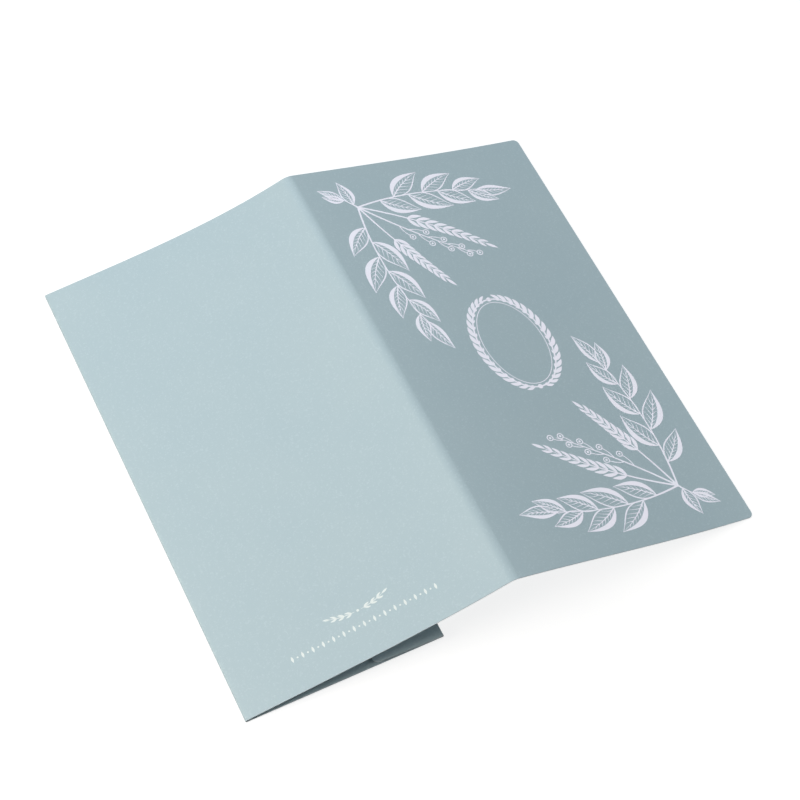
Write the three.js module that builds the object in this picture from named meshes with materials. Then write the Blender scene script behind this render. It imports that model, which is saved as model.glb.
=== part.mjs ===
// Folded invitation card: one sheet of pearl card stock, creased three times.
//
// The sheet is worked out as a blank and its creases. Across the blank, from one free edge to the
// other, lie the lip, the flap, the back panel and the front panel. All three creases turn the same
// way. The card stands open like a low roof on two lines: the crease between back panel and flap,
// and the front panel's free edge. The flap springs up a little from the table under the back
// panel, and the lip is folded back on the flap.
//
// Frame, in millimetres: X across the panels, Y along the creases with the head of the card at +Y,
// Z up. The origin lies on the table under the middle of the card.

import * as THREE from 'three';

// Sheet
const cardLength = 215;
const backPanelWidth = 116;
const frontPanelWidth = 117.5;
const flapWidth = 83.5;
const lipWidth = 29.5;
const stockThickness = 0.36;
const cornerRadius = 2.4;

// Creases: the ridge's radius is to the middle of the stock, the two others' are on their inside
const ridgeRadius = 8;
const flapCreaseRadius = 0.45;
const lipCreaseRadius = 0.3;

// How the card stands: the paper is opened wider at the head than at the foot, the flap's free
// end is off the table, and the lip's free edge is off the flap
const ridgeHeightHead = 28;
const ridgeHeightFoot = 31;
const flapLift = 5.5;
const lipSpring = 1.3;

// Bows: how many degrees a panel is steeper at the ridge, and flatter at its other edge, than a
// straight panel
const backRidgeBowHead = 10.5;
const backRidgeBowFoot = 6;
const backEdgeBowHead = 5;
const backEdgeBowFoot = 3;
const frontRidgeBowHead = 1;
const frontRidgeBowFoot = -0.5;
const frontEdgeBowHead = 2.5;
const frontEdgeBowFoot = 5.5;

// Facets: steps across each stretch of the blank, and along the card
const panelSteps = 18;
const flapSteps = 6;
const lipSteps = 6;
const creaseSteps = 10;
const cornerSteps = 6;
const lengthSteps = 6;

// Sizes that follow
const halfStock = stockThickness / 2;
const flapCreaseMid = flapCreaseRadius + halfStock;
const lipCreaseMid = lipCreaseRadius + halfStock;
const flapCreaseReach = flapCreaseMid + halfStock;
const lipCreaseReach = lipCreaseMid + halfStock;
const flapTilt = Math.asin(flapLift / flapWidth);

function heading(angle) {
  return new THREE.Vector2(Math.cos(angle), Math.sin(angle));
}

// The left-hand normal of a heading, which is the card's printed side all along the blank.
function printedSide(angle) {
  return new THREE.Vector2(-Math.sin(angle), Math.cos(angle));
}

// A stretch of paper that leaves one place and reaches another at given headings.
function bowedStretch(start, startAngle, end, endAngle) {
  const handle = start.distanceTo(end) / 3;
  return new THREE.CubicBezierCurve(
    start,
    start.clone().addScaledVector(heading(startAngle), handle),
    end.clone().addScaledVector(heading(endAngle), -handle),
    end,
  );
}

// A crease turns clockwise from one heading to the next, round a centre on its inside.
function crease(centre, radius, startAngle, endAngle) {
  const quarter = Math.PI / 2;
  return new THREE.EllipseCurve(
    centre.x, centre.y, radius, radius, startAngle + quarter, endAngle + quarter, true,
  );
}

// Places along a stretch from 0 to 1, evenly spaced.
function evenSteps(count) {
  return Array.from({ length: count + 1 }, (_, i) => i / count);
}

// The same for a stretch with a free edge at its start. The first columns follow the rounded
// corner, closest at the edge, where the outline turns fastest.
function stepsFromFreeEdge(stretchLength, count) {
  const cornerShare = cornerRadius / stretchLength;
  const corner = evenSteps(cornerSteps).map((t) => cornerShare * (1 - Math.cos(t * Math.PI / 2)));
  const rest = evenSteps(count).slice(1).map((t) => cornerShare + (1 - cornerShare) * t);
  return corner.concat(rest);
}

function stepsToFreeEdge(stretchLength, count) {
  return stepsFromFreeEdge(stretchLength, count).map((t) => 1 - t).reverse();
}

// The middle line of the stock in a section across the card, from the lip's free edge to the
// front panel's, as one list of points with the unit normal of the printed side at each.
function section(stand) {
  const rad = THREE.MathUtils.degToRad;
  const backTilt = Math.asin(stand.ridgeHeight / backPanelWidth);
  const frontTilt = Math.asin(stand.ridgeHeight / frontPanelWidth);
  const backRise = backTilt - rad(stand.backEdgeBow);
  const ridgeRise = backTilt + rad(stand.backRidgeBow);
  const ridgeFall = -(frontTilt + rad(stand.frontRidgeBow));
  const frontFall = -(frontTilt - rad(stand.frontEdgeBow));

  // The flap's crease touches the table and is the card's widest point on this side.
  const flapCreaseCentre = new THREE.Vector2(
    flapCreaseReach - backPanelWidth * Math.cos(backTilt),
    flapCreaseReach,
  );
  const flapCrease = crease(flapCreaseCentre, flapCreaseMid, flapTilt - Math.PI, backRise);

  const alongFlap = heading(flapTilt);
  const offFlap = printedSide(flapTilt);
  const flapRun = flapWidth - flapCreaseReach - lipCreaseReach;
  const flapEnd = flapCrease.getPoint(0).addScaledVector(alongFlap, flapRun);
  const flap = new THREE.LineCurve(flapEnd, flapCrease.getPoint(0));

  const lipCreaseCentre = flapEnd.clone().addScaledVector(offFlap, lipCreaseMid);
  const lipCrease = crease(lipCreaseCentre, lipCreaseMid, flapTilt, flapTilt - Math.PI);
  const lipRun = lipWidth - lipCreaseReach;
  const lipEdge = lipCrease.getPoint(0)
    .addScaledVector(alongFlap, -lipRun)
    .addScaledVector(offFlap, lipSpring);
  const lipFall = flapTilt - Math.atan2(lipSpring, lipRun);
  const lip = bowedStretch(lipEdge, lipFall, lipCrease.getPoint(0), flapTilt);

  const ridgeCentre = new THREE.Vector2(0, stand.ridgeHeight - halfStock - ridgeRadius);
  const ridge = crease(ridgeCentre, ridgeRadius, ridgeRise, ridgeFall);
  const back = bowedStretch(flapCrease.getPoint(1), backRise, ridge.getPoint(0), ridgeRise);

  // The front panel's lower corner touches the table, and its upper corner is the widest point.
  const frontEdge = new THREE.Vector2(
    frontPanelWidth * Math.cos(frontTilt) + halfStock * Math.sin(frontFall),
    halfStock * Math.cos(frontFall),
  );
  const front = bowedStretch(ridge.getPoint(1), ridgeFall, frontEdge, frontFall);

  const stretches = [
    [lip, stepsFromFreeEdge(lipWidth, lipSteps)],
    [lipCrease, evenSteps(creaseSteps)],
    [flap, evenSteps(flapSteps)],
    [flapCrease, evenSteps(creaseSteps)],
    [back, evenSteps(panelSteps)],
    [ridge, evenSteps(creaseSteps)],
    [front, stepsToFreeEdge(frontPanelWidth, panelSteps)],
  ];
  return stretches.flatMap(([curve, steps], index) => {
    const fresh = index === 0 ? steps : steps.slice(1);
    return fresh.map((t) => {
      const tangent = curve.getTangent(t);
      return { point: curve.getPoint(t), normal: printedSide(tangent.angle()) };
    });
  });
}

// How far the outline is set back from the head and the foot, at a distance from a free edge.
function cornerSetback(fromEdge) {
  const past = Math.max(cornerRadius - fromEdge, 0);
  return cornerRadius - Math.sqrt(Math.max(cornerRadius ** 2 - past ** 2, 0));
}

// The sheet's vertices are one grid for the printed side and one for the inner side. A column is
// a straight line along the card. Its ends are sections at the foot and the head.
function foldedSheet() {
  const foot = section({
    ridgeHeight: ridgeHeightFoot,
    backRidgeBow: backRidgeBowFoot,
    backEdgeBow: backEdgeBowFoot,
    frontRidgeBow: frontRidgeBowFoot,
    frontEdgeBow: frontEdgeBowFoot,
  });
  const head = section({
    ridgeHeight: ridgeHeightHead,
    backRidgeBow: backRidgeBowHead,
    backEdgeBow: backEdgeBowHead,
    frontRidgeBow: frontRidgeBowHead,
    frontEdgeBow: frontEdgeBowHead,
  });
  const columns = foot.length;
  const rows = lengthSteps + 1;

  const along = [0];
  for (let i = 1; i < columns; i += 1) {
    along.push(along[i - 1] + foot[i].point.distanceTo(foot[i - 1].point));
  }
  const blankWidth = along[columns - 1];

  const positions = [];
  for (const side of [halfStock, -halfStock]) {
    for (let i = 0; i < columns; i += 1) {
      const setback = cornerSetback(Math.min(along[i], blankWidth - along[i]));
      for (let j = 0; j < rows; j += 1) {
        const fromFoot = THREE.MathUtils.lerp(setback, cardLength - setback, j / lengthSteps);
        const share = fromFoot / cardLength;
        const point = foot[i].point.clone().lerp(head[i].point, share);
        const normal = foot[i].normal.clone().lerp(head[i].normal, share).normalize();
        point.addScaledVector(normal, side);
        positions.push(point.x, fromFoot - cardLength / 2, point.y);
      }
    }
  }

  const printed = (i, j) => i * rows + j;
  const inner = (i, j) => (columns + i) * rows + j;
  const triangles = [];
  const quad = (a, b, c, d) => triangles.push(a, b, c, a, c, d);
  for (let i = 0; i < columns - 1; i += 1) {
    for (let j = 0; j < lengthSteps; j += 1) {
      quad(printed(i, j), printed(i + 1, j), printed(i + 1, j + 1), printed(i, j + 1));
      quad(inner(i, j), inner(i, j + 1), inner(i + 1, j + 1), inner(i + 1, j));
    }
    quad(printed(i, 0), inner(i, 0), inner(i + 1, 0), printed(i + 1, 0));
    quad(
      printed(i, lengthSteps), printed(i + 1, lengthSteps),
      inner(i + 1, lengthSteps), inner(i, lengthSteps),
    );
  }
  for (let j = 0; j < lengthSteps; j += 1) {
    quad(printed(0, j), printed(0, j + 1), inner(0, j + 1), inner(0, j));
    quad(
      printed(columns - 1, j), inner(columns - 1, j),
      inner(columns - 1, j + 1), printed(columns - 1, j + 1),
    );
  }

  const geometry = new THREE.BufferGeometry();
  geometry.setAttribute('position', new THREE.Float32BufferAttribute(positions, 3));
  geometry.setIndex(triangles);
  geometry.computeVertexNormals();
  return geometry;
}

const pearlStock = new THREE.MeshStandardMaterial({
  color: 0xb2c3c9, roughness: 0.5, metalness: 0.1, side: THREE.DoubleSide,
});

const cardSheet = new THREE.Mesh(foldedSheet(), pearlStock);
cardSheet.name = 'card_sheet';

// The sections are drawn from the ridge, and the card's own middle stands over the origin.
cardSheet.geometry.computeBoundingBox();
cardSheet.position.x = -cardSheet.geometry.boundingBox.getCenter(new THREE.Vector3()).x;

const card = new THREE.Group();
card.add(cardSheet);

export default card;
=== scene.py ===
"""Folded invitation card, dressed: pearl card stock, a stamped foil design and a line of white ink.

Sizes are written in millimetres and degrees, as a print shop gives them, and become metres where
a mesh is made. The frame is the part's own: X across the panels, Y along the creases with the
head of the card at +Y, Z up, and the origin on the table under the middle of the card.
"""

import logging
from collections import defaultdict
from dataclasses import dataclass, field
from enum import Enum

import bpy
import numpy as np
from mathutils import Matrix, Vector


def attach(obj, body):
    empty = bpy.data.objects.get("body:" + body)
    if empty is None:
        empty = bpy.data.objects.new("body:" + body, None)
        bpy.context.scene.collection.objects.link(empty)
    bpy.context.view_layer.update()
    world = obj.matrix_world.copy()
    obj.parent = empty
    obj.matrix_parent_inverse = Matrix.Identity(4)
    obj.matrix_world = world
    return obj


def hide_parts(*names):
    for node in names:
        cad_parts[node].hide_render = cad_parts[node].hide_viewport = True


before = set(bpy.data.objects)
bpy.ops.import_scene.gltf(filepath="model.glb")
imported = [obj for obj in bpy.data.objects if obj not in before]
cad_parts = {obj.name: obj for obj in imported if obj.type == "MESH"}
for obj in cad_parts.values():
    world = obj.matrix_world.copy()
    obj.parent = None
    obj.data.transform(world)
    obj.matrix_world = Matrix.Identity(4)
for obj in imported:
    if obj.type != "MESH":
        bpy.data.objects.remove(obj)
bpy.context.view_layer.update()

log = logging.getLogger("invitation_card")

MM = 0.001
BODY = "root"
SHEET_NODE = "card_sheet"

# The ridge's number among the stretches of a section
RIDGE = 5

# Sockets of a colour mix node, which has others of the same names
MIX_SHARE, MIX_A, MIX_B, MIX_RESULT = 0, 6, 7, 2


# Colour and mesh helpers


def linear(hex_colour: str) -> tuple[float, float, float, float]:
    """Turn an sRGB hex colour to linear light.

    The curve is a straight line near black, and above that a shifted power of 2.4.

    Args:
        hex_colour: Six hex digits after a hash sign.

    Returns:
        Red, green and blue in linear light, and an alpha of 1.
    """
    srgb = np.array([int(hex_colour[i : i + 2], 16) for i in (1, 3, 5)]) / 255.0
    low = srgb / 12.92
    high = ((srgb + 0.055) / 1.055) ** 2.4
    return (*np.where(srgb <= 0.04045, low, high).tolist(), 1.0)


def mesh_piece(
    name: str,
    points: np.ndarray,
    quads: np.ndarray,
    uv: np.ndarray,
    materials: list[bpy.types.Material],
    slots: np.ndarray | None = None,
    sharp_angle: float = 25.0,
) -> bpy.types.Object:
    """Make an object from whole arrays of vertices and four-sided faces.

    Args:
        name: The piece's name.
        points: Vertices in millimetres, one row each.
        quads: Vertex numbers of each face, anticlockwise from outside.
        uv: The place of each vertex on the flat blank, in millimetres.
        materials: The piece's materials in slot order.
        slots: The material slot of each face, or none for the first.
        sharp_angle: Edges that turn by more than this many degrees stay crisp.

    Returns:
        The object, at the origin, with its place in its mesh.
    """
    mesh = bpy.data.meshes.new(name)
    corners = quads.ravel()
    mesh.vertices.add(len(points))
    mesh.vertices.foreach_set("co", (points * MM).astype(np.float32).ravel())
    mesh.loops.add(len(corners))
    mesh.loops.foreach_set("vertex_index", corners.astype(np.int32))
    mesh.polygons.add(len(quads))
    mesh.polygons.foreach_set("loop_start", np.arange(len(quads), dtype=np.int32) * 4)
    if slots is not None:
        mesh.polygons.foreach_set("material_index", slots.astype(np.int32))
    layer = mesh.uv_layers.new(name="blank")
    layer.data.foreach_set("uv", (uv[corners] * MM).astype(np.float32).ravel())
    mesh.update(calc_edges=True)
    mesh.validate()
    mesh.shade_smooth()
    mesh.set_sharp_from_angle(angle=np.radians(sharp_angle))
    for material in materials:
        mesh.materials.append(material)
    piece = bpy.data.objects.new(name, mesh)
    bpy.context.scene.collection.objects.link(piece)
    return piece


def grid_quads(numbers: np.ndarray) -> np.ndarray:
    """Join a grid of vertex numbers, columns by rows, into faces that run anticlockwise."""
    corners = (numbers[:-1, :-1], numbers[1:, :-1], numbers[1:, 1:], numbers[:-1, 1:])
    return np.stack(corners, axis=-1).reshape(-1, 4)


# Card sheet


def unit(angle: np.ndarray | float) -> np.ndarray:
    """Give the unit vector of a heading in radians, along the last axis."""
    return np.stack([np.cos(angle), np.sin(angle)], axis=-1)


def left_of(angle: np.ndarray | float) -> np.ndarray:
    """Give the unit vector at the left hand of a heading in radians."""
    return np.stack([-np.sin(angle), np.cos(angle)], axis=-1)


@dataclass(frozen=True)
class Stretch:
    """A run of the blank seen in section: points and headings at evenly spaced lengths."""

    points: np.ndarray
    headings: np.ndarray
    length: float

    @staticmethod
    def evenly(points: np.ndarray, headings: np.ndarray) -> "Stretch":
        """Space a curve's samples evenly along its length.

        Args:
            points: Samples of the curve, in millimetres.
            headings: The curve's heading at each sample, in radians.

        Returns:
            The same curve with as many samples, evenly spaced.
        """
        steps = np.linalg.norm(np.diff(points, axis=0), axis=1)
        travelled = np.concatenate([[0.0], np.cumsum(steps)])
        wanted = np.linspace(0.0, travelled[-1], len(points))
        spaced = [np.interp(wanted, travelled, column) for column in (*points.T, headings)]
        return Stretch(np.stack(spaced[:2], axis=-1), spaced[2], float(travelled[-1]))


@dataclass(frozen=True)
class Stand:
    """How one end of the card stands: the ridge's height, and each panel's bow in degrees."""

    ridge_height: float
    back_ridge_bow: float
    back_edge_bow: float
    front_ridge_bow: float
    front_edge_bow: float


@dataclass(frozen=True)
class CardSheet:
    """The sheet: a blank of lip, flap, back panel and front panel, creased three times one way."""

    length: float = 215.0
    back_panel: float = 116.0
    front_panel: float = 117.5
    flap: float = 83.5
    lip: float = 29.5
    stock: float = 0.36
    corner_radius: float = 2.4
    ridge_radius: float = 8.0
    flap_crease_radius: float = 0.45
    lip_crease_radius: float = 0.3
    flap_lift: float = 5.5
    lip_spring: float = 1.3
    edge_bulge: float = 0.05
    head: Stand = Stand(28.0, 10.5, 5.0, 1.0, 2.5)
    foot: Stand = Stand(31.0, 6.0, 3.0, -0.5, 5.5)
    samples: int = 400
    rows: int = 73
    rim_steps: int = 4
    columns: tuple[int, ...] = (16, 14, 24, 24, 60, 28, 60)
    corner_columns: int = 8

    @property
    def half(self) -> float:
        """Half of the stock's thickness."""
        return self.stock / 2

    def bend(self, centre: np.ndarray, radius: float, start: float, end: float) -> Stretch:
        """Bend the stock from one heading down to another, a radius to the left of a centre."""
        headings = np.linspace(start, end, self.samples)
        return Stretch.evenly(centre + radius * left_of(headings), headings)

    def bow(self, start: np.ndarray, leave: float, end: np.ndarray, arrive: float) -> Stretch:
        """Bow a panel between two places with a heading at each.

        The curve is the cubic whose handles are a third of the distance long: the weights of its
        four points are the terms of (1 - t + t) to the third power.

        Args:
            start: Where the panel leaves.
            leave: Its heading there, in radians.
            end: Where the panel arrives.
            arrive: Its heading there, in radians.

        Returns:
            The panel as a stretch.
        """
        handle = np.linalg.norm(end - start) / 3
        first = start + handle * unit(leave)
        second = end - handle * unit(arrive)
        t = np.linspace(0.0, 1.0, self.samples)[:, None]
        u = 1.0 - t
        points = u**3 * start + 3 * u**2 * t * first + 3 * u * t**2 * second + t**3 * end
        slope = u**2 * (first - start) + 2 * u * t * (second - first) + t**2 * (end - second)
        turn = np.unwrap(np.arctan2(slope[:, 1], slope[:, 0]))
        turn += leave - turn[0]
        return Stretch.evenly(points, turn)

    def section(self, stand: Stand) -> list[Stretch]:
        """Lay the middle of the stock in a section across one end of the card.

        Headings only ever fall: the sheet rolls clockwise from the lip to the front panel.

        Args:
            stand: How that end stands.

        Returns:
            The stretches from the lip's free edge to the front panel's.
        """
        flap_radius = self.flap_crease_radius + self.half
        lip_radius = self.lip_crease_radius + self.half
        flap_reach = flap_radius + self.half
        lip_reach = lip_radius + self.half
        flap_tilt = np.arcsin(self.flap_lift / self.flap)
        back_tilt = np.arcsin(stand.ridge_height / self.back_panel)
        front_tilt = np.arcsin(stand.ridge_height / self.front_panel)
        turn = 2 * np.pi
        back_rise = back_tilt - np.radians(stand.back_edge_bow) - turn
        ridge_rise = back_tilt + np.radians(stand.back_ridge_bow) - turn
        ridge_fall = -front_tilt - np.radians(stand.front_ridge_bow) - turn
        front_fall = -front_tilt + np.radians(stand.front_edge_bow) - turn

        flap_centre = np.array([flap_reach - self.back_panel * np.cos(back_tilt), flap_reach])
        flap_crease = self.bend(flap_centre, flap_radius, flap_tilt - np.pi, back_rise)
        run = self.flap - flap_reach - lip_reach
        flap_end = flap_crease.points[0] + run * unit(flap_tilt)
        flap = self.bow(flap_end, flap_tilt - np.pi, flap_crease.points[0], flap_tilt - np.pi)

        lip_centre = flap_end + lip_radius * left_of(flap_tilt)
        lip_crease = self.bend(lip_centre, lip_radius, flap_tilt, flap_tilt - np.pi)
        lip_run = self.lip - lip_reach
        spring = self.lip_spring * left_of(flap_tilt)
        lip_edge = lip_crease.points[0] - lip_run * unit(flap_tilt) + spring
        lip_fall = flap_tilt - np.arctan2(self.lip_spring, lip_run)
        lip = self.bow(lip_edge, lip_fall, lip_crease.points[0], flap_tilt)

        ridge_centre = np.array([0.0, stand.ridge_height - self.half - self.ridge_radius])
        ridge = self.bend(ridge_centre, self.ridge_radius, ridge_rise, ridge_fall)
        back = self.bow(flap_crease.points[-1], back_rise, ridge.points[0], ridge_rise)
        front_end = np.array([self.front_panel * np.cos(front_tilt), 0.0])
        front_end += self.half * np.array([np.sin(front_fall), np.cos(front_fall)])
        front = self.bow(ridge.points[-1], ridge_fall, front_end, front_fall)
        return [lip, lip_crease, flap, flap_crease, back, ridge, front]

    @property
    def middle(self) -> float:
        """The card's middle across, measured from the ridge: half of what its sides differ by.

        A side's reach is the root of its panel's width squared less the ridge's height squared,
        at the end where the ridge is lower.

        Returns:
            The distance, in millimetres.
        """
        low = min(self.head.ridge_height, self.foot.ridge_height)
        back = np.sqrt(self.back_panel**2 - low**2)
        front = np.sqrt(self.front_panel**2 - low**2)
        return float(front - back) / 2

    def laid(self) -> "LaidSheet":
        """Work out both ends once, so that places on the blank can be looked up."""
        return LaidSheet(self, self.section(self.foot), self.section(self.head))


class LaidSheet:
    """The sheet as it lies: turns places on the flat blank into places in space."""

    def __init__(self, card: CardSheet, foot: list[Stretch], head: list[Stretch]) -> None:
        """Line up the stretches of the two ends.

        Args:
            card: The sheet's sizes.
            foot: Its section at the foot.
            head: Its section at the head.
        """
        self.card = card
        lengths = np.array([(f.length + h.length) / 2 for f, h in zip(foot, head)])
        self.starts = np.concatenate([[0.0], np.cumsum(lengths)])
        share = np.linspace(0.0, 1.0, card.samples)
        places = [start + size * share[1:] for start, size in zip(self.starts, lengths)]
        self.across = np.concatenate([[0.0], *places])
        self.ends = [self._joined(end) for end in (foot, head)]

    @staticmethod
    def _joined(stretches: list[Stretch]) -> np.ndarray:
        """Join stretches into rows of x, z and heading, each shared sample once."""
        columns = [np.column_stack([s.points, s.headings]) for s in stretches]
        return np.concatenate([columns[0][:1], *[c[1:] for c in columns]]).T

    @property
    def width(self) -> float:
        """The blank's width from free edge to free edge."""
        return float(self.starts[-1])

    @property
    def ridge(self) -> float:
        """The ridge's place across the blank."""
        return float(self.starts[RIDGE] + self.starts[RIDGE + 1]) / 2

    def place(self, across: np.ndarray, along: np.ndarray, lift: np.ndarray) -> np.ndarray:
        """Place points of the blank in space.

        A point lies on the straight line between the two ends' sections, and stands off it along
        the sheet's own normal by the lift. Past a free edge the section goes straight on.

        Args:
            across: Distance from the lip's free edge, in millimetres.
            along: Distance from the foot, in millimetres.
            lift: Distance from the middle of the stock, towards the printed side.

        Returns:
            Points in the part's frame, in millimetres, along the last axis.
        """
        across, along, lift = np.broadcast_arrays(across, along, lift)
        share = along / self.card.length
        inside = np.clip(across, 0.0, self.width)
        foot, head = ([np.interp(inside, self.across, row) for row in end] for end in self.ends)
        x, z, heading = ((1.0 - share) * f + share * h for f, h in zip(foot, head))
        past = across - inside
        x = x + past * np.cos(heading) - lift * np.sin(heading) - self.card.middle
        z = z + past * np.sin(heading) + lift * np.cos(heading)
        return np.stack([x, along - self.card.length / 2, z], axis=-1)

    def setback(self, across: np.ndarray) -> np.ndarray:
        """Give how far the outline is set back at head and foot, where it rounds the corners.

        Near a free edge it is a quarter circle: the radius less the root of the radius squared
        less the square of what is left of the radius.

        Args:
            across: Distance from the lip's free edge, in millimetres.

        Returns:
            The setback, in millimetres.
        """
        radius = self.card.corner_radius
        left = np.clip(radius - np.minimum(across, self.width - across), 0.0, radius)
        return radius - np.sqrt(radius**2 - left**2)

    def stations(self) -> np.ndarray:
        """Give the mesh's columns: even in each stretch, closer at the rounded corners.

        Returns:
            Their distances from the lip's free edge, in millimetres.
        """
        card = self.card
        runs = [
            np.linspace(start, end, count + 1)[1:]
            for start, end, count in zip(self.starts[:-1], self.starts[1:], card.columns)
        ]
        even = np.concatenate(runs)
        quarter = np.linspace(0.0, np.pi / 2, card.corner_columns + 1)
        near = card.corner_radius * (1.0 - np.cos(quarter))
        middle = even[(even > card.corner_radius) & (even < self.width - card.corner_radius)]
        return np.concatenate([near, middle, self.width - near[::-1]])

    @staticmethod
    def rim_loop(numbers: np.ndarray) -> np.ndarray:
        """Walk once round the outline, anticlockwise from the printed side.

        Args:
            numbers: The grid's vertex numbers, columns across by rows along.

        Returns:
            The outline's vertex numbers: the foot, the far side, the head and the near side.
        """
        foot, far_side = numbers[:-1, 0], numbers[-1, :-1]
        head, near_side = numbers[:0:-1, -1], numbers[0, :0:-1]
        return np.concatenate([foot, far_side, head, near_side])

    def build(self, name: str, materials: list[bpy.types.Material]) -> bpy.types.Object:
        """Make the closed sheet: a printed side, an inner side and a rounded cut edge.

        The cut edge is half an ellipse between the two sides, swept round the outline.

        Args:
            name: The piece's name.
            materials: The stock, and the stock's cut edge.

        Returns:
            The sheet as an object.
        """
        card = self.card
        across = self.stations()
        setback = self.setback(across)[:, None]
        rows = np.linspace(0.0, 1.0, card.rows)[None, :]
        along = setback + (card.length - 2 * setback) * rows
        across = np.broadcast_to(across[:, None], along.shape)
        flat = np.stack([across, along], axis=-1).reshape(-1, 2)
        numbers = np.arange(along.size).reshape(along.shape)

        loop = self.rim_loop(numbers)
        outline = flat[loop]
        ahead = np.roll(outline, -1, axis=0) - np.roll(outline, 1, axis=0)
        outward = np.stack([ahead[:, 1], -ahead[:, 0]], axis=-1)
        outward /= np.linalg.norm(outward, axis=1, keepdims=True)
        turns = np.linspace(np.pi / 2, -np.pi / 2, card.rim_steps + 2)[1:-1, None, None]
        rim_flat = outline + card.edge_bulge * np.cos(turns) * outward
        rim_lift = np.broadcast_to(card.half * np.sin(turns[..., 0]), rim_flat.shape[:2])

        parts = [
            self.place(flat[:, 0], flat[:, 1], card.half),
            self.place(flat[:, 0], flat[:, 1], -card.half),
            self.place(rim_flat[..., 0], rim_flat[..., 1], rim_lift).reshape(-1, 3),
        ]
        points = np.concatenate(parts)
        uv = np.concatenate([flat, flat, rim_flat.reshape(-1, 2)])

        loops = [loop]
        first_rim = 2 * len(flat)
        for step in range(card.rim_steps):
            loops.append(first_rim + step * len(outline) + np.arange(len(outline)))
        loops.append(len(flat) + loop)
        ring = np.stack([np.append(each, each[0]) for each in loops], axis=1)
        rim = grid_quads(ring)[:, ::-1]

        sides = np.concatenate([grid_quads(numbers), len(flat) + grid_quads(numbers)[:, ::-1]])
        quads = np.concatenate([sides, rim])
        slots = np.repeat([0, 1], [len(sides), len(rim)])
        return mesh_piece(name, points, quads, uv, materials, slots)


# Print


class Growth(Enum):
    """What grows on a twig."""

    BLADES = "broad leaves with one side stamped solid and veins on the other"
    FRONDS = "pairs of narrow solid leaflets"
    BERRIES = "round berries on short stalks"


@dataclass(frozen=True)
class Line:
    """A curved line on the blank: points and headings from its start to its end."""

    points: np.ndarray
    headings: np.ndarray

    @staticmethod
    def arc(start: np.ndarray, heading: float, length: float, turn: float, count: int) -> "Line":
        """Draw a line that turns evenly.

        Each step is as long as the rest and heads along the mean of the headings at its ends.

        Args:
            start: Where the line starts, in millimetres.
            heading: Its heading there, in radians.
            length: Its length, in millimetres.
            turn: How far it turns over its length, in radians.
            count: How many points it has.

        Returns:
            The line.
        """
        headings = heading + turn * np.linspace(0.0, 1.0, count)
        steps = unit((headings[1:] + headings[:-1]) / 2) * length / (count - 1)
        points = np.concatenate([[start], start + np.cumsum(steps, axis=0)])
        return Line(points, headings)

    def at(self, share: np.ndarray) -> tuple[np.ndarray, np.ndarray]:
        """Look up places and headings on the line.

        Args:
            share: How far along it they are, as shares of its length.

        Returns:
            The places and the headings.
        """
        own = np.linspace(0.0, 1.0, len(self.points))
        x, y, heading = (np.interp(share, own, c) for c in (*self.points.T, self.headings))
        return np.stack([x, y], axis=-1), heading

    def offset(self, distance: np.ndarray | float) -> np.ndarray:
        """Move every point to the left by a distance of its own."""
        return self.points + np.asarray(distance)[..., None] * left_of(self.headings)


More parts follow.
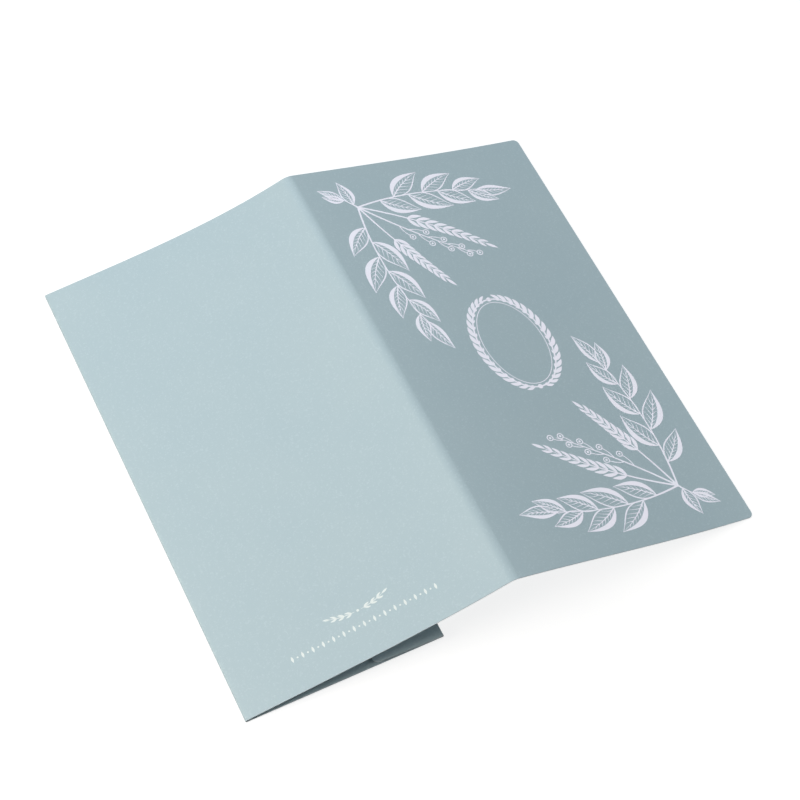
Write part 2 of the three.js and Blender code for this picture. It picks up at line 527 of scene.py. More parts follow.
@dataclass
class Film:
    """Thin film on one panel, made of strips between a left and a right edge.

    It stands a little off the printed side and is sunk a little into the stock, so that no gap
    shows under it. Each strip stands a layer higher than the one before it, and after as many as
    fill the film's own height the layers start again.
    """

    steps: int = 15
    small_steps: int = 8
    raised: float = 0.03
    sunk: float = 0.02
    layer: float = 0.0004
    dot_reach: float = 0.97
    strips: dict[tuple[int, bool], list[np.ndarray]] = field(
        default_factory=lambda: defaultdict(list)
    )

    def patch(self, left: np.ndarray, right: np.ndarray, closed: bool = False) -> None:
        """Add a patch between two edges, each an array of points, open or closed to a ring."""
        self.strips[len(left), closed].append(np.stack([left, right], axis=1))

    def stroke(self, line: Line, start_width: float, end_width: float) -> None:
        """Add a stroke along a line, whose width changes evenly from its start to its end."""
        half = np.linspace(start_width, end_width, len(line.points)) / 2
        self.patch(line.offset(half), line.offset(-half))

    def swelling(self, line: Line, width: float, tip: float) -> None:
        """Add a stroke that swells to its width in the middle, as a half wave, from its tips."""
        half = (tip + (width - tip) * np.sin(np.linspace(0.0, np.pi, len(line.points)))) / 2
        self.patch(line.offset(half), line.offset(-half))

    def leaflet(
        self, foot: np.ndarray, heading: float, turn: float, size: tuple[float, float], tip: float
    ) -> None:
        """Add a narrow solid leaf of a length and width, from its foot and its heading there."""
        length, width = size
        self.swelling(Line.arc(foot, heading, length, turn, self.small_steps), width, tip)

    def ring(self, centre: np.ndarray, radii: np.ndarray, width: float, stations: int) -> None:
        """Add a closed oval ring.

        Args:
            centre: Its centre.
            radii: Half of its size across and along, to the middle of its stroke.
            width: The stroke's width.
            stations: How many places it is worked out at.
        """
        turn = np.linspace(0.0, 2 * np.pi, stations, endpoint=False)
        inner, outer = (centre + (radii + side * width / 2) * unit(turn) for side in (-1, 1))
        self.patch(inner, outer, closed=True)

    def dot(self, centre: np.ndarray, radius: float) -> None:
        """Add a round dot, as a patch between its halves, which end just short of its poles.

        Args:
            centre: Its centre.
            radius: Its radius.
        """
        turn = np.linspace(-self.dot_reach, self.dot_reach, self.small_steps) * np.pi / 2
        height = radius * np.sin(turn)
        reach = radius * np.cos(turn)
        left = centre + np.stack([-reach, height], axis=-1)
        right = centre + np.stack([reach, height], axis=-1)
        self.patch(left, right)

    @staticmethod
    def _shell(strips: np.ndarray, closed: bool) -> tuple[np.ndarray, np.ndarray]:
        """Close a stack of strips into shells with a top, an underside and sides.

        A station has four vertices: the top's left and right, then the underside's. A face takes
        its first and last corner from one station and the two between from the next.

        Args:
            strips: Strips by stations by edge by place.
            closed: Whether the last station joins the first.

        Returns:
            The top flag of each vertex, and the faces.
        """
        count, stations = strips.shape[:2]
        numbers = np.arange(count * stations * 4).reshape(count, stations, 4)
        here = numbers if closed else numbers[:, :-1]
        following = np.roll(numbers, -1, axis=1) if closed else numbers[:, 1:]
        top_side, underside = (1, 1, 0, 0), (2, 2, 3, 3)
        left_side, right_side = (0, 0, 2, 2), (3, 3, 1, 1)
        faces = [
            np.stack([here[..., a], following[..., b], following[..., c], here[..., d]], -1)
            for a, b, c, d in (top_side, underside, left_side, right_side)
        ]
        quads = [face.reshape(-1, 4) for face in faces]
        if not closed:
            quads.append(numbers[:, 0][:, [1, 0, 2, 3]])
            quads.append(numbers[:, -1][:, [0, 1, 3, 2]])
        top = np.tile([1.0, 1.0, 0.0, 0.0], count * stations)
        return top, np.concatenate(quads)

    def build(
        self, name: str, sheet: LaidSheet, material: bpy.types.Material
    ) -> bpy.types.Object:
        """Press the film onto the sheet's printed side.

        Args:
            name: The piece's name.
            sheet: The sheet as it lies.
            material: The film's material.

        Returns:
            The film as an object.
        """
        points, flats, quads, first = [], [], [], 0
        for (_, closed), strips in self.strips.items():
            stack = np.stack(strips)
            top, faces = self._shell(stack, closed)
            flat = np.tile(stack, (1, 1, 2, 1)).reshape(-1, 2)
            order = np.repeat(np.arange(len(stack)), stack.shape[1] * 4)
            high = self.raised + self.layer * order % self.raised
            lift = sheet.card.half + np.where(top > 0, high, -self.sunk)
            points.append(sheet.place(sheet.ridge + flat[:, 0], flat[:, 1], lift))
            flats.append(flat)
            quads.append(first + faces)
            first += len(flat)
        return mesh_piece(
            name, np.concatenate(points), np.concatenate(quads), np.concatenate(flats), [material]
        )


@dataclass(frozen=True)
class Ribs:
    """Short strokes on one half of a leaf: how many, and their reach and lean as shares."""

    count: int
    reach: float
    lean: float


@dataclass(frozen=True)
class Blade:
    """A broad leaf cut as a printmaker would: one half shaded, the other half in veins.

    Sizes are in millimetres, and the turn in radians. The solid band is a share of the half's
    width, and ribs stand between two shares of the leaf's length.
    """

    length: float
    width: float
    turn: float
    shaded_left: bool
    veins: Ribs = Ribs(5, 0.88, 0.2)
    hatches: Ribs = Ribs(7, 0.42, 0.1)
    first_rib: float = 0.1
    last_rib: float = 0.82
    rib_fan: float = 0.6
    rib_steps: int = 5
    line_width: float = 0.62
    rib_width: float = 0.36
    solid: float = 0.46
    tip: float = 0.06
    fullest: float = 0.8
    sharpness: float = 1.15

    def spread(self, share: np.ndarray) -> np.ndarray:
        """Half of the leaf's width: a half wave that peaks before the middle, sharp at the tip."""
        return self.width / 2 * np.sin(np.pi * share**self.fullest) ** self.sharpness

    def rule(self, film: Film, axis: Line, side: float, ribs: Ribs) -> None:
        """Add ribs from the midrib outwards, each leaning towards the tip.

        Args:
            film: Where they go.
            axis: The midrib.
            side: Plus one for the left half, minus one for the right.
            ribs: What they are like.
        """
        step = np.linspace(0.0, 1.0, self.rib_steps)
        for root in np.linspace(self.first_rib, self.last_rib - ribs.lean, ribs.count):
            share = root + ribs.lean * step
            places, headings = axis.at(share)
            out = side * ribs.reach * step * self.spread(share)
            line = Line(places + out[:, None] * left_of(headings), headings + side * self.rib_fan)
            film.stroke(line, self.rib_width, self.tip)

    def draw(self, film: Film, start: np.ndarray, heading: float) -> None:
        """Add the leaf to a film.

        Args:
            film: Where the leaf goes.
            start: The foot of the leaf, in millimetres.
            heading: The way it points, in radians.
        """
        axis = Line.arc(start, heading, self.length, self.turn, film.steps)
        spread = self.spread(np.linspace(0.0, 1.0, film.steps))
        side = 1.0 if self.shaded_left else -1.0
        edges = [axis.offset(side * (spread + self.tip)), axis.offset(side * self.solid * spread)]
        film.patch(*(edges if self.shaded_left else edges[::-1]))
        film.stroke(axis, self.line_width, self.tip)
        outline = Line(axis.offset(-side * spread), axis.headings)
        film.swelling(outline, self.line_width, 2 * self.tip)
        self.rule(film, axis, -side, self.veins)
        self.rule(film, axis, side, self.hatches)


@dataclass(frozen=True)
class Twig:
    """A curved twig with leaves, leaflets or berries on alternate sides of its stem.

    Sizes are in millimetres, its own angles in degrees and the curls in radians. Places along the
    stem are shares of it, and the widths of leaves are shares of their length.
    """

    growth: Growth
    start: tuple[float, float]
    heading: float
    length: float
    turn: float
    count: int
    leaf: float
    bare: float = 0.16
    last: float = 0.94
    fullest: float = 0.4
    thinning: float = 0.6
    spread_angle: float = 48.0
    closing: float = 0.35
    stem_width: float = 0.85
    end_leaf: float = 0.8
    blade_width: float = 0.42
    blade_curl: float = 0.4
    end_blade_width: float = 0.34
    end_blade_curl: float = 0.2
    leaflet_width: float = 0.24
    leaflet_curl: float = 0.5
    end_leaflet_curl: float = 0.1
    tip: float = 0.08
    berry: float = 1.3
    berry_dot: float = 0.4
    stalk_curl: float = 0.6
    stalk_width: float = 0.42
    stalk_end: float = 0.34

    def draw(self, film: Film) -> None:
        """Add the twig to a film, its stem first.

        Leaves are longest at their fullest place and shrink evenly to both sides of it, and they
        close towards the stem's end.

        Args:
            film: Where it goes.
        """
        start = np.array(self.start)
        heading, turn = np.radians([self.heading, self.turn])
        stem = Line.arc(start, heading, self.length, turn, film.steps)
        film.stroke(stem, self.stem_width, self.stem_width / 3)
        shares = np.linspace(self.bare, self.last, self.count)
        places, headings = stem.at(shares)
        for number, (share, place, along) in enumerate(zip(shares, places, headings)):
            hand = 1.0 if number % 2 else -1.0
            size = self.leaf * (1.0 - self.thinning * abs(share - self.fullest))
            opening = np.radians(self.spread_angle) * (1.0 - self.closing * share)
            self._grow(film, place, along, hand, size, opening)
        if self.growth is not Growth.BERRIES:
            self._finish(film, stem)

    def _grow(
        self,
        film: Film,
        place: np.ndarray,
        heading: float,
        hand: float,
        size: float,
        opening: float,
    ) -> None:
        """Add what grows at one place of the stem.

        Args:
            film: Where it goes.
            place: The place on the stem.
            heading: The stem's heading there, in radians.
            hand: Plus one for the left side, minus one for the right.
            size: Its length, in millimetres.
            opening: Its angle from the stem, in radians.
        """
        aside = heading + hand * opening
        if self.growth is Growth.BLADES:
            blade = Blade(size, self.blade_width * size, -hand * self.blade_curl, hand > 0)
            blade.draw(film, place, aside)
        elif self.growth is Growth.FRONDS:
            width = self.leaflet_width * size
            for side in (1.0, -1.0):
                aside = heading + side * opening
                film.leaflet(place, aside, -side * self.leaflet_curl, (size, width), self.tip)
        else:
            stalk = Line.arc(place, aside, size, -hand * self.stalk_curl, film.small_steps)
            film.stroke(stalk, self.stalk_width, self.stalk_end)
            centre = stalk.points[-1] + self.berry * unit(stalk.headings[-1])
            film.ring(centre, np.full(2, self.berry), self.stalk_width, 2 * film.small_steps)
            film.dot(centre, self.berry_dot * self.berry)

    def _finish(self, film: Film, stem: Line) -> None:
        """End the stem with a last leaf that points the way it goes.

        Args:
            film: Where it goes.
            stem: The twig's stem.
        """
        foot, heading = stem.points[-1], stem.headings[-1]
        size = self.end_leaf * self.leaf
        if self.growth is Growth.BLADES:
            blade = Blade(size, self.end_blade_width * size, self.end_blade_curl, True)
            blade.draw(film, foot, heading)
        else:
            width = self.leaflet_width * size
            film.leaflet(foot, heading, self.end_leaflet_curl, (size, width), self.tip)


@dataclass(frozen=True)
class Wreath:
    """An oval of two rings, with leaves that rise on both sides from one bead to another.

    Sizes are in millimetres, the first and last leaf's turns in half turns, and the leaves'
    spread and curl in radians.
    """

    centre: tuple[float, float] = (59.0, 107.5)
    radii: tuple[float, float] = (16.5, 24.0)
    stations: int = 72
    ring_width: float = 0.7
    inner_gap: float = 1.8
    inner_width: float = 0.32
    bead: float = 1.15
    leaves: int = 17
    first_turn: float = -0.45
    last_turn: float = 0.4
    outer_leaf: float = 6.2
    inner_leaf: float = 2.4
    leaf_width: float = 0.32
    spread: float = 0.62
    curl: float = 0.5
    tip: float = 0.08
    least: float = 0.5

    def draw(self, film: Film) -> None:
        """Add the wreath to a film.

        A place on the ring is the centre plus the radii times the cosine and sine of its turn,
        and the leaves head along the ring's slope there. They get smaller towards the beads, by
        the root of that cosine.

        Args:
            film: Where it goes.
        """
        centre = np.array(self.centre)
        radii = np.array(self.radii)
        film.ring(centre, radii, self.ring_width, self.stations)
        film.ring(centre, radii - self.inner_gap, self.inner_width, self.stations)
        for end in (1.0, -1.0):
            film.dot(centre + np.array([0.0, end * radii[1]]), self.bead)
        turns = np.linspace(self.first_turn, self.last_turn, self.leaves) * np.pi
        for hand, turn in ((hand, turn) for hand in (1.0, -1.0) for turn in turns):
            place = centre + radii * unit(turn) * np.array([hand, 1.0])
            heading = np.arctan2(radii[1] * np.cos(turn), -hand * radii[0] * np.sin(turn))
            taper = self.least + (1.0 - self.least) * np.cos(turn) ** 0.5
            for side, longest in ((-hand, self.outer_leaf), (hand, self.inner_leaf)):
                length = longest * taper
                aside = heading + side * self.spread
                size = (length, self.leaf_width * length)
                film.leaflet(place, aside, -side * self.curl, size, self.tip)


@dataclass(frozen=True)
class FoilDesign:
    """Leaf sprays in two opposite corners of the front panel, and an oval wreath between them."""

    wreath: Wreath = Wreath()
    spray: tuple[Twig, ...] = (
        Twig(Growth.BLADES, (24.0, 192.0), 12.0, 60.0, -26.0, 7, 22.0, bare=0.2),
        Twig(Growth.BLADES, (24.0, 192.0), -102.0, 66.0, 26.0, 7, 22.0, bare=0.18),
        Twig(Growth.BLADES, (24.0, 192.0), 128.0, 7.0, 10.0, 2, 15.0, bare=0.3),
        Twig(Growth.FRONDS, (24.0, 192.0), -24.0, 58.0, -16.0, 9, 7.5, bare=0.38),
        Twig(Growth.FRONDS, (24.0, 192.0), -71.0, 50.0, 12.0, 8, 7.5, bare=0.44),
        Twig(Growth.BERRIES, (24.0, 192.0), -47.0, 54.0, 14.0, 8, 7.0, bare=0.36),
    )

    def corners(self, card: CardSheet) -> Film:
        """Draw the spray, and the same turned half round the middle of the panel.

        Args:
            card: The sheet's sizes.

        Returns:
            The film of both corners.
        """
        film = Film()
        for twig in self.spray:
            twig.draw(film)
        size = np.array([card.front_panel, card.length])
        for strips in film.strips.values():
            strips.extend([size - strip for strip in strips])
        return film

    def build(self, sheet: LaidSheet, foil: bpy.types.Material) -> list[bpy.types.Object]:
        """Stamp the design on the front panel.

        Args:
            sheet: The sheet as it lies.
            foil: The foil's material.

        Returns:
            The sprays and the wreath.
        """
        oval = Film()
        self.wreath.draw(oval)
        return [
            self.corners(sheet.card).build("foil_leaf_sprays", sheet, foil),
            oval.build("foil_oval_wreath", sheet, foil),
        ]


@dataclass(frozen=True)
class InkBorder:
    """A small printed ornament at the foot of the back panel: a sprig over a row of marks.

    Sizes are in millimetres, the two numbers of a mark or a leaf are its length and width, and
    turns, spread and curl are in radians.
    """

    raised: float = 0.012
    row_centre: tuple[float, float] = (-58.5, 13.8)
    marks: int = 29
    pitch: float = 2.2
    lozenge: tuple[float, float] = (2.7, 1.0)
    dot: float = 0.38
    bead: float = 0.55
    sprig_rise: float = 6.2
    sprig_gap: float = 1.4
    sprig_length: float = 10.0
    sprig_turn: float = 0.35
    stem_width: float = 0.34
    stem_tip: float = 0.14
    leaf: tuple[float, float] = (2.9, 0.85)
    leaf_places: tuple[float, ...] = (0.12, 0.42, 0.72)
    spread: float = 0.6
    curl: float = 0.5
    tip: float = 0.1

    def row(self, film: Film) -> None:
        """Add the row: lozenges and dots by turns, evenly spaced about its centre.

        Args:
            film: Where it goes.
        """
        for step in range(self.marks):
            across = (step - (self.marks - 1) / 2) * self.pitch
            place = np.array(self.row_centre) + np.array([across, 0.0])
            if step % 2:
                film.dot(place, self.dot)
            else:
                foot = place - np.array([0.0, self.lozenge[0] / 2])
                film.leaflet(foot, np.pi / 2, 0.0, self.lozenge, self.tip)

    def sprig(self, film: Film) -> None:
        """Add the sprig: a bead, and a leafy stem to either side of it.

        Args:
            film: Where it goes.
        """
        centre = np.array(self.row_centre) + np.array([0.0, self.sprig_rise])
        film.dot(centre, self.bead)
        for hand, heading in ((1.0, 0.0), (-1.0, np.pi)):
            start = centre + np.array([self.sprig_gap * hand, 0.0])
            turn = self.sprig_turn * hand
            stem = Line.arc(start, heading, self.sprig_length, turn, film.small_steps)
            film.swelling(stem, self.stem_width, self.stem_tip)
            for place, along in zip(*stem.at(np.array(self.leaf_places))):
                for side in (1.0, -1.0):
                    aside = along + side * self.spread
                    film.leaflet(place, aside, -side * self.curl, self.leaf, self.tip)
            film.leaflet(stem.points[-1], stem.headings[-1], 0.0, self.leaf, self.tip)

    def build(self, sheet: LaidSheet, ink: bpy.types.Material) -> bpy.types.Object:
        """Print the ornament.

        Args:
            sheet: The sheet as it lies.
            ink: The ink's material.

        Returns:
            The ornament as an object.
        """
        film = Film(raised=self.raised)
        self.row(film)
        self.sprig(film)
        return film.build("ink_border", sheet, ink)


# Finishes


def add_node(
    tree: bpy.types.NodeTree, kind: str, settings: dict | None = None, **links
) -> bpy.types.Node:
    """Add a shader node with its settings and its incoming links.

    Args:
        tree: The tree that gets the node.
        kind: The node's type name.
        settings: Values by property name, or by input name or number where the node has no such
            property.
        links: Output sockets by input name, with underscores for spaces.

    Returns:
        The node.
    """
    node = tree.nodes.new(kind)
    for key, value in (settings or {}).items():
        if isinstance(key, str) and hasattr(node, key):
            setattr(node, key, value)
        else:
            node.inputs[key].default_value = value
    for key, socket in links.items():
        tree.links.new(socket, node.inputs[key.replace("_", " ")])
    return node


class Finish:
    """A finish: makes one material under its own name, from its own colours and sizes."""

    name: str

    def make(self) -> bpy.types.Material:
        """Make the material, with the finish's shader at its output.

        Returns:
            The material.
        """
        material = bpy.data.materials.new(self.name)
        material.use_nodes = True
        tree = material.node_tree
        tree.nodes.clear()
        add_node(tree, "ShaderNodeOutputMaterial", Surface=self.shade(tree).outputs[0])
        return material

    def shade(self, tree: bpy.types.NodeTree) -> bpy.types.Node:
        """Add the finish's nodes to a tree and give its shader."""
        raise NotImplementedError

    @staticmethod
    def mottled(
        place: bpy.types.NodeSocket, size: float, tones: tuple[str, str], detail: float
    ) -> tuple[bpy.types.NodeSocket, bpy.types.NodeSocket]:
        """Mix two tones by a noise.

        Args:
            place: Where the noise is read, as a socket of the material's tree.
            size: The noise's grain, in millimetres.
            tones: The two tones, as hex colours.
            detail: How many finer noises lie over it.

        Returns:
            The noise, and the colour.
        """
        tree = place.id_data
        first, second = (linear(tone) for tone in tones)
        scale = {"Scale": 1 / (size * MM), "Detail": detail}
        noise = add_node(tree, "ShaderNodeTexNoise", scale, Vector=place).outputs["Fac"]
        mix = {"data_type": "RGBA", MIX_A: first, MIX_B: second}
        return noise, add_node(tree, "ShaderNodeMix", mix, Factor=noise).outputs[MIX_RESULT]


@dataclass(frozen=True)
class PearlStock(Finish):
    """Coated card stock with mica in its coating, calendered: a soft satin with a fine grain."""

    # What that gives the eye: an even grey blue with no glare, a broad sheen where it turns from
    # the lamp, and a faint sparkle close up, painted as pale mica flecks in the colour: partly the
    # mica's own pale tone, partly painted glint. Real mica flakes are about 0.05 mm and the fibre
    # grain about 0.1 mm, too fine to show, so both are drawn several times as coarse.
    name: str = "pearl_card_stock_calendered"
    tone: str = "#b1c2c7"
    cloud_tone: str = "#abbec5"
    fleck_glint_tone: str = "#c3d2d7"
    roughness: float = 0.57
    smoother: float = 0.05
    rougher: float = 0.06
    cloud: float = 38.0
    grain: float = 0.35
    grain_depth: float = 0.012
    fleck: float = 0.55
    dull_flecks: float = 0.78
    fleck_glint_strength: float = 0.35

    def shade(self, tree: bpy.types.NodeTree) -> bpy.types.Node:
        """Shade wide clouds in the tone, pale flecks of mica with a painted glint, and a grain in
        the gloss and the bump.

        Every pattern lies on the blank's own map, so that it follows the folds.

        Args:
            tree: The material's tree.

        Returns:
            The shader.
        """
        place = add_node(tree, "ShaderNodeUVMap", {"uv_map": "blank"}).outputs["UV"]
        tones = (self.tone, self.cloud_tone)
        _, cloudy = self.mottled(place, self.cloud, tones, detail=3.0)
        # Pale flecks of mica, painted into the base colour: partly the mica's own pale tone, partly
        # a painted glint that stands in for its sparkle.
        flecks = add_node(
            tree, "ShaderNodeTexVoronoi", {"Scale": 1 / (self.fleck * MM)}, Vector=place
        )
        chance = add_node(tree, "ShaderNodeSeparateColor", Color=flecks.outputs["Color"])
        painted_glint = add_node(
            tree,
            "ShaderNodeMapRange",
            {"From Min": self.dull_flecks, "To Max": self.fleck_glint_strength},
            Value=chance.outputs["Red"],
        )
        colour = add_node(
            tree, "ShaderNodeMix", {"data_type": "RGBA", MIX_B: linear(self.fleck_glint_tone)}
        )
        tree.links.new(painted_glint.outputs["Result"], colour.inputs[MIX_SHARE])
        tree.links.new(cloudy, colour.inputs[MIX_A])
        grain = add_node(
            tree,
            "ShaderNodeTexNoise",
            {"Scale": 1 / (self.grain * MM), "Detail": 4.0, "Roughness": 0.6},
            Vector=place,
        ).outputs["Fac"]
        rough = add_node(
            tree,
            "ShaderNodeMapRange",
            {"To Min": self.roughness - self.smoother, "To Max": self.roughness + self.rougher},
            Value=grain,
        )
        bump = add_node(
            tree,
            "ShaderNodeBump",
            {"Strength": 0.25, "Distance": self.grain_depth * MM},
            Height=grain,
        )
        return add_node(
            tree,
            "ShaderNodeBsdfPrincipled",
            {"Metallic": 0.03, "IOR": 1.5, "Coat Weight": 0.08, "Coat Roughness": 0.35},
            Base_Color=colour.outputs[MIX_RESULT],
            Roughness=rough.outputs["Result"],
            Normal=bump.outputs["Normal"],
        )


@dataclass(frozen=True)
class CutEdge(Finish):
    """The guillotined edge of the stock: bare fibre, paler and duller than the coated faces."""

    # What that gives the eye: a dull pale line, a third of a millimetre wide, round every panel.
    # Real fibres are about 0.03 mm thick, too fine to show, so they are drawn coarser.
    name: str = "card_edge_guillotined"
    tone: str = "#e2e4e5"
    fibre_tone: str = "#d2d7d9"
    fibre: float = 0.5
    fibre_depth: float = 0.02

    def shade(self, tree: bpy.types.NodeTree) -> bpy.types.Node:
        """Shade the fibres, as a fine noise in the colour and in the bump.

        Args:
            tree: The material's tree.

        Returns:
            The shader.
        """
        place = add_node(tree, "ShaderNodeTexCoord").outputs["Object"]
        tones = (self.tone, self.fibre_tone)
        fibre, colour = self.mottled(place, self.fibre, tones, detail=4.0)
        bump = add_node(
            tree,
            "ShaderNodeBump",
            {"Strength": 0.4, "Distance": self.fibre_depth * MM},
            Height=fibre,
        )
        return add_node(
            tree,
            "ShaderNodeBsdfPrincipled",
            {"Roughness": 0.85, "IOR": 1.47},
            Base_Color=colour,
            Normal=bump.outputs["Normal"],
        )


@dataclass(frozen=True)
class PearlFoil(Finish):
    """Metallised film, hot stamped: a pale lilac pearl that takes the grain of the card."""

    # What that gives the eye: a soft metal that is pale from every side, without a mirror's
    # bright spots, because the card's grain shows through it and scatters what it reflects.
    name: str = "pearl_foil_hot_stamped"
    tone: str = "#ebe6f2"
    shade_tone: str = "#dfe3ea"
    roughness: float = 0.4
    smoother: float = 0.06
    rougher: float = 0.1
    press: float = 6.0

    def shade(self, tree: bpy.types.NodeTree) -> bpy.types.Node:
        """Shade the stamp's uneven pressure, which shifts the tone and the gloss a little.

        Args:
            tree: The material's tree.

        Returns:
            The shader.
        """
        place = add_node(tree, "ShaderNodeUVMap", {"uv_map": "blank"}).outputs["UV"]
        tones = (self.tone, self.shade_tone)
        press, colour = self.mottled(place, self.press, tones, detail=5.0)
        rough = add_node(
            tree,
            "ShaderNodeMapRange",
            {"To Min": self.roughness - self.smoother, "To Max": self.roughness + self.rougher},
            Value=press,
        )
        return add_node(
            tree,
            "ShaderNodeBsdfPrincipled",
            {"Metallic": 0.82},
            Base_Color=colour,
            Roughness=rough.outputs["Result"],
        )


@dataclass(frozen=True)
class WhiteInk(Finish):
    """Opaque white ink, screen printed: matt, with a faint mesh grain."""

    # What that gives the eye: a flat clean white without any shine. A real screen's mesh leaves
    # a pattern of about 0.1 mm, too fine to show, so it is drawn three times as coarse.
    name: str = "white_ink_screen_printed"
    tone: str = "#eef2f0"
    thin_tone: str = "#dde6e5"
    mesh_pitch: float = 0.3

    def shade(self, tree: bpy.types.NodeTree) -> bpy.types.Node:
        """Shade the ink, which lies thinner where the screen's mesh held it back.

        Args:
            tree: The material's tree.

        Returns:
            The shader.
        """
        place = add_node(tree, "ShaderNodeUVMap", {"uv_map": "blank"}).outputs["UV"]
        tones = (self.tone, self.thin_tone)
        _, colour = self.mottled(place, self.mesh_pitch, tones, detail=2.0)
        settings = {"Roughness": 0.7, "IOR": 1.48}
        return add_node(tree, "ShaderNodeBsdfPrincipled", settings, Base_Color=colour)


def background_rays(tree: bpy.types.NodeTree) -> bpy.types.NodeSocket:
    """Add up the rays that look at the background: camera, glossy and transmission.

    Args:
        tree: The tree that gets the nodes.

    Returns:
        One for such a ray and nought for the rest.
    """
    path = add_node(tree, "ShaderNodeLightPath")
    total = path.outputs["Is Camera Ray"]
    for name in ("Is Glossy Ray", "Is Transmission Ray"):
        either = add_node(tree, "ShaderNodeMath", {"operation": "MAXIMUM"})
        tree.links.new(total, either.inputs[0])
        tree.links.new(path.outputs[name], either.inputs[1])
        total = either.outputs["Value"]
    return total


@dataclass(frozen=True)
class TablePaint(Finish):
    """Matt white paint on the table top. Its glow grows to full white away from the card."""

    # What that gives the eye: a plain white ground, with a soft shadow where the card stands.
    # The fade's ends are in metres from the card's middle.
    name: str = "white_table_top_painted"
    tone: float = 0.3
    glow: float = 0.82
    fade_start: float = 0.3
    fade_end: float = 1.4

    def shade(self, tree: bpy.types.NodeTree) -> bpy.types.Node:
        """Shade plain paint for the light, and paint with its glow for rays that look at it.

        Args:
            tree: The material's tree.

        Returns:
            The shader.
        """
        plain = add_node(tree, "ShaderNodeBsdfDiffuse", {"Color": (*[self.tone] * 3, 1.0)})
        place = add_node(tree, "ShaderNodeTexCoord").outputs["Object"]
        away = add_node(tree, "ShaderNodeVectorMath", {"operation": "LENGTH"}, Vector=place)
        fade = add_node(
            tree,
            "ShaderNodeMapRange",
            {"From Min": self.fade_start, "From Max": self.fade_end, "To Min": self.glow},
            Value=away.outputs["Value"],
        )
        glow = add_node(tree, "ShaderNodeEmission", Strength=fade.outputs["Result"])
        lit = add_node(tree, "ShaderNodeAddShader")
        tree.links.new(plain.outputs["BSDF"], lit.inputs[0])
        tree.links.new(glow.outputs["Emission"], lit.inputs[1])
        shader = add_node(tree, "ShaderNodeMixShader", Fac=background_rays(tree))
        tree.links.new(plain.outputs["BSDF"], shader.inputs[1])
        tree.links.new(lit.outputs["Shader"], shader.inputs[2])
        return shader


# Studio


@dataclass(frozen=True)
class Lamp:
    """A round soft lamp that faces the card: place and size in metres, power in watts."""

    name: str
    place: tuple[float, float, float]
    size: float
    power: float
    tone: tuple[float, float, float]

    def hang(self) -> None:
        """Make the lamp and turn it to the origin."""
        light = bpy.data.lights.new(self.name, "AREA")
        light.shape = "DISK"
        light.size = self.size
        light.energy = self.power
        light.color = self.tone
        lamp = bpy.data.objects.new(self.name, light)
        lamp.location = self.place
        lamp.rotation_euler = Vector(self.place).to_track_quat("Z", "Y").to_euler()
        bpy.context.scene.collection.objects.link(lamp)


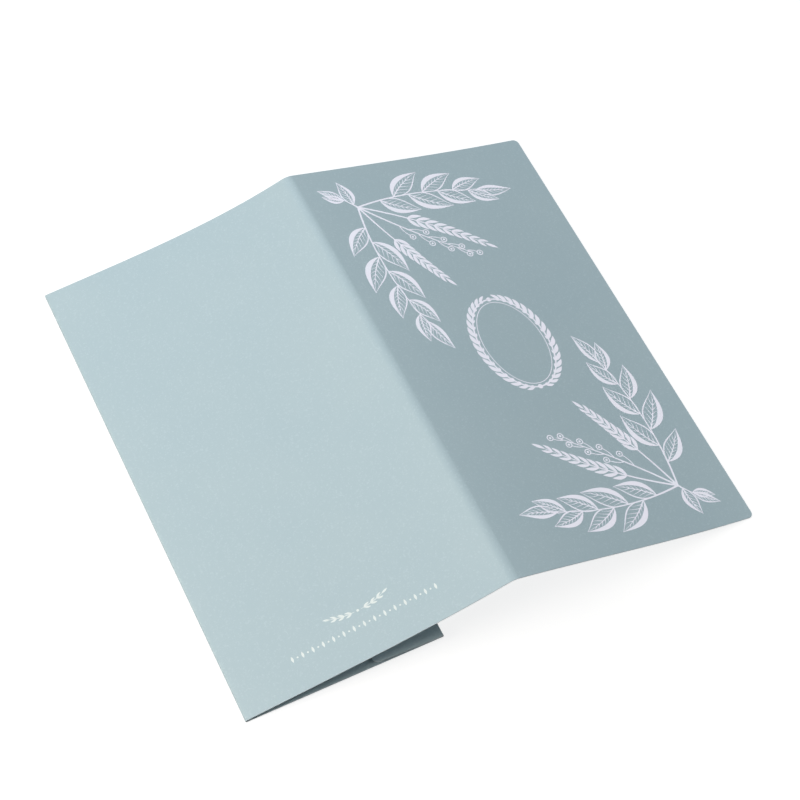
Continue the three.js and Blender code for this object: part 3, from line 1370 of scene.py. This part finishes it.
@dataclass(frozen=True)
class Studio:
    """A white table top, a warm soft lamp at the left, cooler ones at head and foot, the camera.

    Sizes are in metres and angles in degrees. The camera's focal length is in pixels of the frame.
    """

    floor_size: float = 6.0
    floor_drop: float = 0.00004
    sky: tuple[float, float, float] = (0.74, 0.9, 1.0)
    sky_low: float = 0.0
    sky_high: float = 0.14
    lamps: tuple[Lamp, ...] = (
        Lamp("left_lamp", (-0.72, 0.0, 0.68), 0.7, 8.7, (1.0, 0.945, 0.88)),
        Lamp("head_lamp", (0.05, 0.72, 0.7), 0.6, 3.35, (0.72, 0.88, 1.0)),
        Lamp("foot_lamp", (0.42, -0.64, 0.68), 0.35, 1.4, (0.9, 0.97, 1.0)),
    )
    azimuth: float = -30.72
    elevation: float = 56.93
    roll: float = 6.32
    distance: float = 0.880
    target: tuple[float, float, float] = (0.0038, 0.0008, 0.0)
    focal_pixels: float = 2105.0
    frame_pixels: float = 800.0
    sensor: float = 36.0
    clip_start: float = 0.01

    def floor(self) -> bpy.types.Object:
        """Lay the table top just under the card.

        Returns:
            The table top.
        """
        half = self.floor_size / 2
        corners = [(-half, -half), (half, -half), (half, half), (-half, half)]
        mesh = bpy.data.meshes.new("table_top")
        mesh.from_pydata([(x, y, -self.floor_drop) for x, y in corners], [], [(0, 1, 2, 3)])
        mesh.materials.append(TablePaint().make())
        top = bpy.data.objects.new("table_top", mesh)
        bpy.context.scene.collection.objects.link(top)
        return top

    def world(self) -> None:
        """Light the card from a sky that brightens towards its top, and show white behind it."""
        world = bpy.data.worlds.new("studio")
        world.use_nodes = True
        tree = world.node_tree
        tree.nodes.clear()
        way = add_node(tree, "ShaderNodeTexCoord").outputs["Generated"]
        height = add_node(tree, "ShaderNodeSeparateXYZ", Vector=way).outputs["Z"]
        bright = add_node(
            tree,
            "ShaderNodeMapRange",
            {"To Min": self.sky_low, "To Max": self.sky_high},
            Value=height,
        )
        sky = add_node(
            tree, "ShaderNodeBackground", {"Color": (*self.sky, 1.0)}, Strength=bright.outputs[0]
        )
        white = add_node(tree, "ShaderNodeBackground", {"Color": (1.0, 1.0, 1.0, 1.0)})
        mix = add_node(tree, "ShaderNodeMixShader", Fac=background_rays(tree))
        tree.links.new(sky.outputs["Background"], mix.inputs[1])
        tree.links.new(white.outputs["Background"], mix.inputs[2])
        add_node(tree, "ShaderNodeOutputWorld", Surface=mix.outputs["Shader"])
        bpy.context.scene.world = world

    def camera(self) -> None:
        """Stand the camera where the photograph was taken from.

        Its back vector comes from azimuth and elevation, and it is rolled about its own axis.
        """
        azimuth, elevation, roll = np.radians([self.azimuth, self.elevation, self.roll])
        flat = np.cos(elevation)
        back = Vector((np.sin(azimuth) * flat, -np.cos(azimuth) * flat, np.sin(elevation)))
        right = Vector((0.0, 0.0, 1.0)).cross(back).normalized()
        up = back.cross(right)
        rolled_right = right * np.cos(roll) + up * np.sin(roll)
        rolled_up = up * np.cos(roll) - right * np.sin(roll)
        data = bpy.data.cameras.new("photo_camera")
        data.sensor_width = self.sensor
        data.lens = self.focal_pixels / self.frame_pixels * self.sensor
        data.clip_start = self.clip_start
        camera = bpy.data.objects.new("photo_camera", data)
        turn = Matrix((rolled_right, rolled_up, back)).transposed().to_4x4()
        place = Vector(self.target) + back * self.distance
        camera.matrix_world = Matrix.Translation(place) @ turn
        bpy.context.scene.collection.objects.link(camera)
        bpy.context.scene.camera = camera


def main() -> None:
    """Dress the card, light it and stand the camera."""
    logging.basicConfig(level=logging.INFO, format="%(message)s")
    bpy.context.scene.view_settings.view_transform = "Standard"

    sheet = CardSheet().laid()
    paper = sheet.build("card_sheet_dressed", [PearlStock().make(), CutEdge().make()])
    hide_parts(SHEET_NODE)
    dressed = {"card_stock": [paper]}
    dressed["pearl_foil"] = FoilDesign().build(sheet, PearlFoil().make())
    dressed["white_ink"] = [InkBorder().build(sheet, WhiteInk().make())]
    for slot, pieces in dressed.items():
        for piece in pieces:
            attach(piece, BODY)
            log.info("%s: %d faces", piece.name, len(piece.data.polygons))

    studio = Studio()
    studio.floor()
    studio.world()
    for lamp in studio.lamps:
        lamp.hang()
    studio.camera()


if __name__ == "__main__":
    main()
